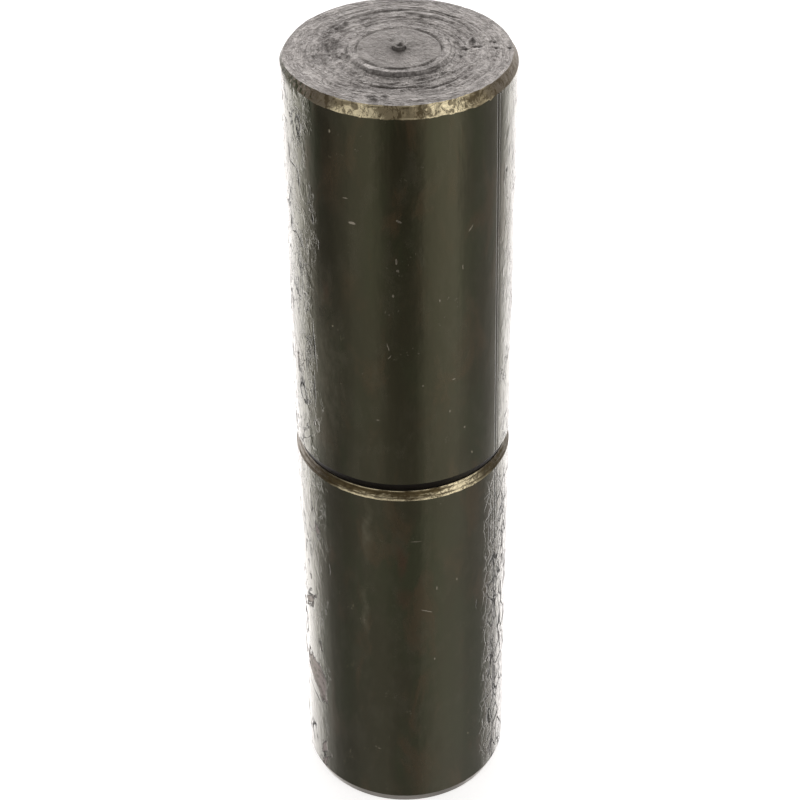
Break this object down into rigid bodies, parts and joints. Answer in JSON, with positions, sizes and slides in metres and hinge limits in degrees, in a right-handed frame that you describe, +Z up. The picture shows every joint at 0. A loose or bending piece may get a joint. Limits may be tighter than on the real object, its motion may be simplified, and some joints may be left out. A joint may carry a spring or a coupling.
{
  "type": "weld-on barrel hinge",
  "caption": "Lift-off weld-on hinge: an upper round steel barrel turns on the fixed pin of a lower one and rides on a ball inside.",
  "frame": {"origin": "centre of the lower barrel's foot face, on the hinge axis", "axes": "+Z up along the hinge axis, from the lower barrel to the upper; +X and +Y are alike, because the part is turned; the weld seams go anywhere round it"},
  "size_m": [0.04, 0.04, 0.1613],
  "materials": {
    "barrel_steel": "oiled bar steel with dark mill scale, bare and straw-coloured on the bevels, grey and torn on the parted end",
    "pin_steel": "ground, lightly greased",
    "ball_steel": "polished hardened steel"
  },
  "bodies": {
    "lower": {"lower_barrel": "barrel_steel", "hinge_pin": "pin_steel"},
    "ball": {"thrust_ball": "ball_steel"},
    "upper": {"upper_barrel": "barrel_steel"}
  },
  "joints": [
    {"name": "swing", "type": "hinge", "parent": "lower", "child": "ball", "pos_m": [0, 0, 0.081], "axis": [0, 0, 1], "continuous": true},
    {"name": "lift_off", "type": "slide", "parent": "ball", "child": "upper", "axis": [0, 0, 1], "range_m": [0, 0.058]}
  ]
}
